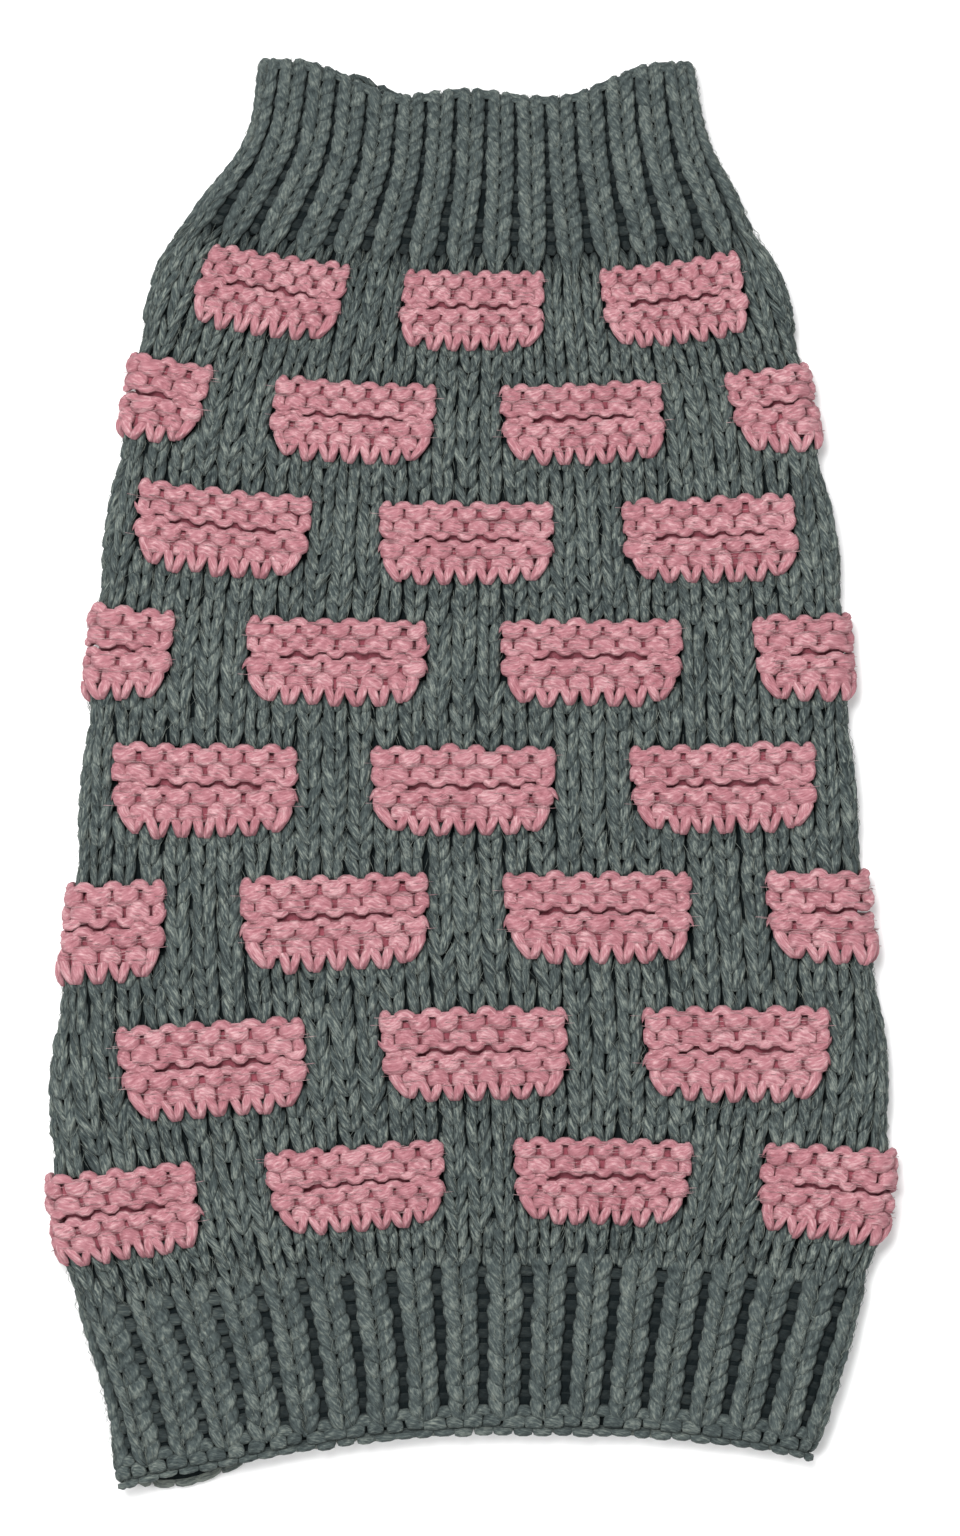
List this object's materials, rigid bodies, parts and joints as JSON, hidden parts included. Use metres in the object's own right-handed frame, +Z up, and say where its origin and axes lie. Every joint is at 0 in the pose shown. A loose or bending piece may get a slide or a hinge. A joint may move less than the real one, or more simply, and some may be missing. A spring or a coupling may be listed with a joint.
{
  "type": "knitted dog sweater",
  "caption": "Pull-on knitted sweater for a dog, laid flat: ribbed collar, body with raised blocks in a brick layout, ribbed hem and two leg openings underneath.",
  "frame": {"origin": "on the surface that the sweater lies on, under the middle of its outline", "axes": "+Y towards the collar, +Z up out of the back side, +X to the right seen from above with the collar away"},
  "size_m": [0.2285, 0.3821, 0.0149],
  "materials": {
    "grey_yarn": "thick heathered green-grey yarn, matt and slightly fuzzy",
    "pink_yarn": "thick dusty pink yarn, matt and slightly fuzzy"
  },
  "bodies": {
    "root": {"neck_rib": "grey_yarn", "back_panel": "grey_yarn", "belly_panel": "grey_yarn", "hem_rib": "grey_yarn", "brick_1_left": "pink_yarn", "brick_1_middle": "pink_yarn", "brick_1_right": "pink_yarn", "brick_2_left_fold": "pink_yarn", "brick_2_left": "pink_yarn", "brick_2_right": "pink_yarn", "brick_2_right_fold": "pink_yarn", "brick_3_left": "pink_yarn", "brick_3_middle": "pink_yarn", "brick_3_right": "pink_yarn", "brick_4_left_fold": "pink_yarn", "brick_4_left": "pink_yarn", "brick_4_right": "pink_yarn", "brick_4_right_fold": "pink_yarn", "brick_5_left": "pink_yarn", "brick_5_middle": "pink_yarn", "brick_5_right": "pink_yarn", "brick_6_left_fold": "pink_yarn", "brick_6_left": "pink_yarn", "brick_6_right": "pink_yarn", "brick_6_right_fold": "pink_yarn", "brick_7_left": "pink_yarn", "brick_7_middle": "pink_yarn", "brick_7_right": "pink_yarn", "brick_8_left_fold": "pink_yarn", "brick_8_left": "pink_yarn", "brick_8_right": "pink_yarn", "brick_8_right_fold": "pink_yarn"}
  },
  "joints": []
}
